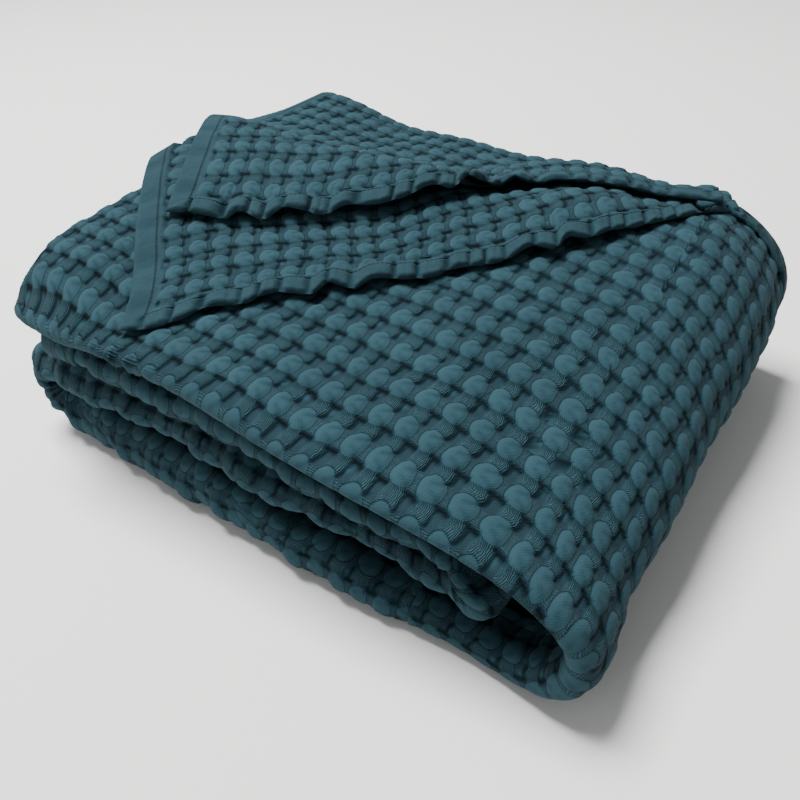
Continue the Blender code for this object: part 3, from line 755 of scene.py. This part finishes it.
def ruffles(seed, swell, lift):
    """Waves of a puckered hem along its edge: uneven S waves two or three repeats long that lift the edge and
    draw it in, and flat pillows about a repeat long with narrow pinches between them. Both are sines with
    slow sines in their phase. Returns a function of the place along the hem that gives the lift, the relief
    of the pillows and how far the edge is drawn in.
    """
    def hem_waves(stops):
        """The lift, the pillows and the pull at places along the hem, as said above."""
        s = stops / CELL
        phase = s / PILLOW + 0.30 * np.sin(0.83 * s + seed) + 0.17 * np.sin(2.1 * s + 2 * seed)
        pinch = np.abs(np.cos(math.pi * phase)) ** 9
        strength = 0.45 + 0.55 * cell_noise(np.floor(phase + 0.5), seed, 3)
        swing = 2 * math.pi * s / WAVE + 1.1 * np.sin(0.61 * s + 1.7 * seed) + 0.6 * np.sin(1.37 * s + seed)
        fold = np.sin(swing + 0.3 * np.sin(swing))
        size = 0.70 + 0.30 * np.sin(2 * math.pi * s / 9.0 + 2.0 * seed)
        size = size * (1.0 - between(stops[-1] - CALM_FROM, stops[-1] - CALM_AT, stops))
        waves = lift * np.clip(0.45 + 0.55 * fold, 0.0, 1.0) * size
        pillows = swell * (1.0 - pinch) * strength - PINCH_IN * pinch * strength
        return waves, pillows, PINCH_PULL * pinch * strength + WAVE_PULL * fold * size
    return hem_waves


# the turned corner's weave, in repeats: place along the hem, first row, row pitch; and place, column
TURNED_ROWS = [(1.5, 1.95, 0.90), (4.0, 1.80, 0.90), (8.0, 1.40, 0.72), (10.0, 1.30, 0.72),
               (13.5, 1.90, 0.85), (17.0, 2.00, 1.05), (21.0, 2.20, 1.20)]
TURNED_COLUMNS = [(0.0, 0.335), (13.3, 14.03), (17.2, 17.7), (21.0, 20.9), (27.0, 25.9)]


def turned_weave(a, b):
    """Weave of the turned corner: its rows draw together in the middle of the hem and spread to the right."""
    places, first, pitch = zip(*TURNED_ROWS)
    rows = 2.0 + (b - np.interp(a, places, first)) / np.interp(a, places, pitch)
    return along(TURNED_COLUMNS, a) + 0 * b, rows


UPPER_PITCH, UPPER_SHIFT, UPPER_BACK = 1.07, 0.58, 0.18
UPPER_CLOSE, CLOSE_FROM, CLOSE_OVER = 0.25, 1.6, 1.3  # its first row lies closer to the hem


def upper_weave(a, b):
    """Weave of the upper corner: even columns, and rows that a soft step draws towards the hem."""
    rows = b - UPPER_BACK + UPPER_CLOSE * (1.0 - smooth((b - CLOSE_FROM) / CLOSE_OVER))
    return UPPER_PITCH * a - UPPER_SHIFT + 0 * b, rows


# plan outlines of the two turned corners, in repeats, from the corner itself
LOWER_FRONT = [(6.2, 0.3), (7.0, 1.6), (8.5, 3.7), (11, 6.2), (14, 9.2), (17, 12.7), (19.2, 16.0),
               (20.7, 18.4), (21.8, 20.0), (22.6, 20.8)]
LOWER_SIDE = [(6.2, 0.3), (4.9, 2.2), (2.6, 4.7), (-0.5, 8.2), (-1.8, 9.8), (-3.6, 12.2)]
UPPER_FRONT = [(3.1, 6.0), (4.2, 6.5), (5.9, 7.5), (8, 8.6), (9.8, 10.0), (11.3, 11.8), (12.6, 13.8),
               (13.8, 15.8), (15.4, 17.5), (17.6, 18.6), (19.4, 19.3), (22, 20.2)]
UPPER_SIDE = [(3.1, 6.0), (2, 8.1), (0, 11.4), (-1.4, 13.6), (-2.6, 15.6)]


def rise_between(height, start, full, last, end):
    """A hem's extra lift along its length: none to start, full from full to last, none from end on."""
    return lambda s: height * between(start, full, s) * (1.0 - between(last, end, s))


BEFORE_RIDGE, BEHIND_HEM = 0.8, 1.5  # repeats from the ridge and from the hem to the back panel
PAST_FOLD = 0.01  # how far pieces go on past the back fold
BACK_BAND, CORNER_COVER = 5.5 * CELL, 12.5 * CELL  # depth of the back band; how far back the corner covers


def top_edge(path):
    """The top ply's hem, short of the back fold."""
    return np.minimum(path["top_hem"], DEPTH - OUTER_BULGE - HEM_CLEAR)


def ridge_back(path, distance):
    """Where the top ply's back panel starts: near the ridge, or behind its hem where that is further."""
    cx = path["x"] / CELL
    front = np.maximum(along(RIDGE, cx) - BEFORE_RIDGE, along(UPPER_FRONT, cx) + BEHIND_HEM) * CELL
    return distance[:, 0] + np.maximum(front - top_edge(path), 0.0)


def half_back_fold(path, distance):
    """Round the outer back fold, as half an ellipse, and PAST_FOLD on along the bottom ply."""
    flat = DEPTH - OUTER_BULGE - top_edge(path)
    return distance[:, 0] + flat + math.pi * 0.5 * (OUTER_BULGE + path["thick"] / 2) + PAST_FOLD


def first_edge(path, distance):
    """The top ply's hem."""
    return distance[:, 0]


def last_edge(path, distance):
    """The second ply's hem."""
    return distance[:, -1]


def short_of_back(path, distance):
    """A band's width in from the back, or the top ply's hem where that is further back."""
    return distance[:, 0] + np.maximum(DEPTH - BACK_BAND - path["top_hem"], 0.0)


def behind_corner(path, distance):
    """The second ply under the upper corner."""
    return distance[:, -1] - np.maximum(CORNER_COVER - path["second_hem"], 0.0)


def repeats(count):
    """A place on the third ply, that many repeats from its front fold."""
    return lambda path, distance: np.full(len(distance), count * CELL)


def sample_at(x, run):
    """The path sample where the numbered run (0, 2, 4 or 6) passes x."""
    first, last = RUN_ENDS[run], RUN_ENDS[run + 1] - 1
    share = (x - PATH[first, 0]) / (PATH[last, 0] - PATH[first, 0])
    return first + share * (last - first)


def before_fold(path, distance):
    """Two repeats before the front fold, on the bottom ply."""
    return to_fold(path, distance) - 2 * CELL


def under_top_hem(path, distance):
    """Two repeats past the place of the top ply's hem."""
    return path["top_hem"] + 2 * CELL


TOP_END, WIDE_END, END = RUN_ENDS[1], RUN_ENDS[2], len(PATH) - 1
UNDER_STACK, PANEL_FROM = WIDE_END + 30, WIDE_END + 28  # 45 and 42 mm on, under the stack
# points of the section by which a piece's length is measured
TOP_PLY, BOTTOM_PLY, THIRD_PLY, FRONT, BACK = (1,), (11,), (30,), (12, 18, 24), (1, 6, 11)
END_DEPTH = 2.6 * CELL  # how far in the end pieces go
TOP_LEFT_END, SECOND_LEFT_END = sample_at(RUNS[0][1] + END_DEPTH, 0), sample_at(RUNS[1][1] + END_DEPTH, 6)

strip_piece("waffle_top", 0, UNDER_STACK, to_fold, after_hem, THIRD_PLY, BROAD, (1, 0, 0, 0), laid=as_woven,
            hemmed=False)
corner_panel("turned_corner", LOWER_FRONT, LOWER_SIDE, level=0.0040, settle=0.6,
             raised=rise_between(0.001, start=0, full=4, last=14, end=18),
             reaches=[(0, 10.4), (14, 7.0), (20, 3.5), (24, 1.5), (27, 1.0)], laid=turned_weave,
             ruffle=ruffles(seed=1.0, swell=0.0026, lift=0.0034))
corner_panel("upper_corner", UPPER_FRONT, UPPER_SIDE, level=0.0125, settle=0.0,
             raised=rise_between(0.003, start=6, full=12, last=16, end=20),
             reaches=[(0, 6.4), (6, 5.6), (12, 4.0), (18, 1.8), (23, 0.9), (27, 0.7)], laid=upper_weave,
             ruffle=ruffles(seed=2.3, swell=0.0024, lift=0.0056))
strip_piece("upper_back", 0, TOP_END, ridge_back, half_back_fold, TOP_PLY, FINE, (1, 0, 1, 0), left_hem=True,
            tuck=0.005, hemmed=False)
strip_piece("front_folds", UNDER_STACK, SECOND_LEFT_END, before_fold, repeats(4), FRONT, MEDIUM, (0, 0, 0, 0),
            ruckle=2.2)
strip_piece("back_folds", TOP_END, SECOND_LEFT_END, short_of_back, half_back_fold, BACK, MEDIUM, (0, 0, 1, 0),
            tuck=0.012, ruckle=1.5, hemmed=False)
strip_piece("under_wrap", WIDE_END, sample_at(3 * CELL, 4), first_edge, short_of_back, TOP_PLY, ROUGH,
            (0, 0, 1, 0))
strip_piece("under_panel", PANEL_FROM, sample_at(6 * CELL, 2), repeats(3.8), under_top_hem, THIRD_PLY, ROUGH,
            (0, 0, 0, 0))
strip_piece("second_run_end", SECOND_LEFT_END, END, first_edge, last_edge, THIRD_PLY, MEDIUM, (0, 1, 1, 1),
            right_hem=True)
strip_piece("top_run_end", 0, TOP_LEFT_END, half_back_fold, to_fold, BOTTOM_PLY, MEDIUM, (1, 0, 0, 0))
strip_piece("second_ply_end", 0, TOP_LEFT_END, repeats(11.4), behind_corner, THIRD_PLY, MEDIUM, (1, 0, 0, 0))


# ---- finish
def colour(hex_code):
    """Linear colour of an sRGB hex value."""
    parts = [int(hex_code[index:index + 2], 16) / 255 for index in (0, 2, 4)]
    linear = [part / 12.92 if part <= 0.04045 else ((part + 0.055) / 1.055) ** 2.4 for part in parts]
    return (*linear, 1.0)


def node(tree, *values, kind, sockets=(), output=0, **settings):
    """Add a node and return one of its outputs. values go to its inputs in their order, and sockets gives
    others by name or number; each is a number, a colour or another node's output. settings are its own
    properties.
    """
    added = tree.nodes.new(kind)
    for key, value in settings.items():
        setattr(added, key, value)
    for socket, value in [*enumerate(values), *dict(sockets).items()]:
        if isinstance(value, bpy.types.NodeSocket):
            tree.links.new(value, added.inputs[socket])
        else:
            added.inputs[socket].default_value = value
    return added.outputs[output]


PLUS, MINUS, TIMES, OVER, TIMES_PLUS, LARGER, ABOVE, SINE, SIZE = (
    {"kind": "ShaderNodeMath", "operation": operation} for operation in
    ("ADD", "SUBTRACT", "MULTIPLY", "DIVIDE", "MULTIPLY_ADD", "MAXIMUM", "GREATER_THAN", "SINE", "ABSOLUTE"))
STEP = {"kind": "ShaderNodeMapRange"}  # 0 at the first value, 1 at the second

HOLLOW_SHADE_TEAL, PALE_TEAL, FULL_HEIGHT = "1B2D35", "2C4750", 0.45  # the yarn darkened as painted shade low in the weave, and its own colour from this height up
COTTON_SHEEN = {"Roughness": 0.92, "Specular IOR Level": 0.08, "Sheen Weight": 0.02, "Sheen Roughness": 0.5}
# unevenness per metre, and its finer octaves: fibres every 1.1 mm, clouds in the dye every 26 mm, strays
# among the loose threads every 3 mm, and crumples of the hems every 8 mm
FIBRES, CLOUDS, STRAYS, CRUMPLES = (900.0, 3.0), (38.0, 3.0), (330.0, 2.0), (130.0, 3.0)
WANDER = 4.6  # how far, as a phase, strays push the loose threads' lines aside
CLOUD_TONE, CELL_TONE, DYE = 0.22, 0.10, 0.80  # shares of the tone: clouds, repeat by repeat, even
THREAD_HIGHLIGHT, THREAD_MEAN = 0.95, 0.30  # painted highlights on the loose threads' tops: how light their lines are, from this level of the lines
# darker on loose threads and hems; painted shade in the crevices, in the seam's groove and round a pad's rim
LOOSE_DARKER, HEM_DARKER, CREVICE_PAINTED_SHADE, SEAM_PAINTED_SHADE, PAD_RIM_PAINTED_SHADE = 0.12, 0.20, 0.96, 0.40, 0.45
CREVICE_SHADE_SATURATION = 0.30  # painted shade between threads is more saturated
SEAM_WIDTH, STITCH_SHARE = 0.07, -0.4  # in hem widths; the sine's level from which a stitch shows
# heights in the relief, in mm: fibres, loose threads, a pad's ribs, a hem's crumples, its seam, crevices
FIBRE_UP, THREAD_UP, RIB_UP, CRUMPLE_UP, SEAM_UP, CREVICE_UP = 0.22, 0.55, 0.08, 1.6, -1.0, -0.5


def woven_cotton():
    """Garment-washed cotton yarn, dyed teal: matte, with a faint bloom of fibre at grazing angles. Loose
    threads show as lines of painted highlight; painted shade darkens the weave's hollows, crevices, a hem's
    pinches and its seam.
    """
    material = bpy.data.materials.new("washed_teal_cotton")
    material.use_nodes = True
    tree = material.node_tree
    shader = tree.nodes["Principled BSDF"]
    for name, value in COTTON_SHEEN.items():
        shader.inputs[name].default_value = value
    add = functools.partial(node, tree)

    part = {name: add(kind="ShaderNodeAttribute", output="Fac", attribute_name=name) for name in ATTRIBUTES}
    hem = part["plain"]
    spot = add(kind="ShaderNodeTexCoord", output="Object")
    fibre, cloud, stray, crumple = (
        add(kind="ShaderNodeTexNoise", output="Fac",
            sockets={"Vector": spot, "Scale": scale, "Detail": octaves})
        for scale, octaves in (FIBRES, CLOUDS, STRAYS, CRUMPLES))
    cloth = add(kind="ShaderNodeUVMap", uv_map="cloth")
    along_cloth, across_cloth = (add(cloth, kind="ShaderNodeSeparateXYZ", output=axis) for axis in (0, 1))
    woven = add(1.0, hem, **MINUS)

    # where loose threads lie: on a bundle or a curl, outside a pad, and not on a hem
    off_pad = add(part["in_pad"], 0.25, -0.25, **STEP)
    on_bundle, on_curl = (add(part[name], -0.1, 0.3, **STEP) for name in ("in_bundle", "in_curl"))
    loose = add(add(on_bundle, on_curl, **LARGER), add(off_pad, woven, **TIMES), **TIMES)
    wander = add(stray, WANDER, **TIMES)

    def lines(lay):
        """Lines THREAD apart, for painted highlights on the threads' tops and for the bump: 1 less the size
        of a sine.
        """
        wave = add(add(lay, math.pi / THREAD, wander, **TIMES_PLUS), **SINE)
        return add(1.0, add(wave, **SIZE), **MINUS)

    row_first = add(part["in_bundle"], part["in_curl"], **ABOVE)
    thread = add(kind="ShaderNodeMix", sockets={"Factor": row_first, "A": lines(part["curl_lay"]),
                                                "B": lines(part["bundle_lay"])})
    # a pad's own fine ribs: the product of two sines, RIB apart
    warp, weft = (add(add(way, 2 * math.pi * repeat / RIB, **TIMES), **SINE)
                  for way, repeat in ((along_cloth, CELL), (across_cloth, ROW)))
    ribs = add(warp, weft, **TIMES)

    # painted shade: a dark ring just outside each pad's outline
    pad_rim_shade = add(add(part["in_pad"], 0.3, **PLUS), **SIZE)
    pad_rim_shade = add(add(pad_rim_shade, 0.6, 0.1, **STEP), PAD_RIM_PAINTED_SHADE, **TIMES)
    crevice_shade = add(add(pad_rim_shade, woven, **TIMES), part["crevice_shade"], **LARGER)

    # the seam: a line along the hem, broken into stitches; its darkening is painted shade in the seam's
    # groove
    from_seam = add(add(part["edge"], SEAM, **MINUS), **SIZE)
    line = add(1.0, add(from_seam, SEAM_WIDTH, **OVER), **MINUS)
    line = add(add(line, 0.0, **LARGER), hem, **TIMES)
    dash = add(add(add(part["run"], 2 * math.pi / STITCH, **TIMES), **SINE), STITCH_SHARE, **ABOVE)
    seam = add(line, add(dash, -0.5, 1.25, **TIMES_PLUS), **TIMES)

    # painted shade: the lower in the weave's relief, the darker the yarn
    full = add(part["height"], 0.0, FULL_HEIGHT, **STEP)
    base = add(full, kind="ShaderNodeMix", data_type="RGBA", output=2,
               sockets={6: colour(HOLLOW_SHADE_TEAL), 7: colour(PALE_TEAL)})
    tone = add(cloud, CLOUD_TONE, add(part["shade"], CELL_TONE, DYE, **TIMES_PLUS), **TIMES_PLUS)
    tone = add(tone, add(loose, -LOOSE_DARKER, 1.0, **TIMES_PLUS), **TIMES)
    # painted highlight along the tops of the loose threads
    light = add(add(thread, THREAD_MEAN, **MINUS), loose, **TIMES)
    tone = add(light, THREAD_HIGHLIGHT, tone, **TIMES_PLUS)
    # darker on hems; painted shade in the crevices and in the seam's groove
    for where, darker in ((hem, HEM_DARKER), (crevice_shade, CREVICE_PAINTED_SHADE), (seam, SEAM_PAINTED_SHADE)):
        tone = add(tone, add(where, -darker, 1.0, **TIMES_PLUS), **TIMES)
    richer = add(crevice_shade, CREVICE_SHADE_SATURATION, 1.0, **TIMES_PLUS)
    dyed = add(kind="ShaderNodeHueSaturation", sockets={"Color": base, "Value": tone, "Saturation": richer})
    tree.links.new(dyed, shader.inputs["Base Color"])

    relief = add(fibre, FIBRE_UP, **TIMES)
    tight = add(1.0, loose, **MINUS)
    for what, height in ((add(thread, loose, **TIMES), THREAD_UP), (add(ribs, tight, **TIMES), RIB_UP),
                         (add(crumple, hem, **TIMES), CRUMPLE_UP), (seam, SEAM_UP), (crevice_shade, CREVICE_UP)):
        relief = add(what, height, relief, **TIMES_PLUS)
    bump = add(kind="ShaderNodeBump", sockets={"Height": relief, "Strength": 1.0, "Distance": 0.001})
    tree.links.new(bump, shader.inputs["Normal"])
    return material


COTTON = woven_cotton()
for piece in PIECES:
    piece.data.materials.append(COTTON)

# ---- floor, light and camera
FLOOR_HALF, PALE_PAPER, PAPER_ROUGHNESS = 6.0, "F4F4F2", 0.9
LAMPS = [("key", (-1.15, 0.15, 2.95), 1.4, 240), ("fill", (-1.1, -2.1, 0.7), 2.0, 14)]  # place, size, watts
AIM = Vector((0.0, 0.0, 0.1))
SKY, SKY_STRENGTH = "FFFFFF", 0.30
CAMERA_AT, LENS, SENSOR = (0.29012, -0.41208, 0.40468), 33.75, 36.0
# in degrees: round the upright, up from looking straight down, and round the line of sight
CAMERA_TURN, CAMERA_TILT, CAMERA_ROLL = 36.298, 51.147, -3.333


def studio_floor():
    """A plain sheet of pale, matt paper under the blanket."""
    mesh = bpy.data.meshes.new("floor")
    corners = [(x * FLOOR_HALF, y * FLOOR_HALF, 0.0) for x, y in ((-1, -1), (1, -1), (1, 1), (-1, 1))]
    mesh.from_pydata(corners, [], [(0, 1, 2, 3)])
    floor = bpy.data.objects.new("floor", mesh)
    bpy.context.scene.collection.objects.link(floor)
    material = bpy.data.materials.new("pale_paper")
    material.use_nodes = True
    shader = material.node_tree.nodes["Principled BSDF"]
    shader.inputs["Base Color"].default_value = colour(PALE_PAPER)
    shader.inputs["Roughness"].default_value = PAPER_ROUGHNESS
    mesh.materials.append(material)


studio_floor()
for name, at, size, watts in LAMPS:
    lamp = bpy.data.objects.new(name, bpy.data.lights.new(name, "AREA"))
    lamp.data.size, lamp.data.energy = size, watts
    lamp.location = at
    lamp.rotation_euler = (AIM - Vector(at)).to_track_quat("-Z", "Y").to_euler()
    bpy.context.scene.collection.objects.link(lamp)
world = bpy.data.worlds.new("studio")
world.use_nodes = True
sky = world.node_tree.nodes["Background"].inputs
sky["Color"].default_value, sky["Strength"].default_value = colour(SKY), SKY_STRENGTH
bpy.context.scene.world = world

camera = bpy.data.objects.new("camera", bpy.data.cameras.new("camera"))
camera.data.lens, camera.data.sensor_width = LENS, SENSOR
camera.matrix_world = Matrix.Translation(CAMERA_AT)
for angle, axis in ((CAMERA_TURN, "Z"), (CAMERA_TILT, "X"), (CAMERA_ROLL, "Z")):
    camera.matrix_world = camera.matrix_world @ Matrix.Rotation(math.radians(angle), 4, axis)
bpy.context.scene.collection.objects.link(camera)
bpy.context.scene.camera = camera
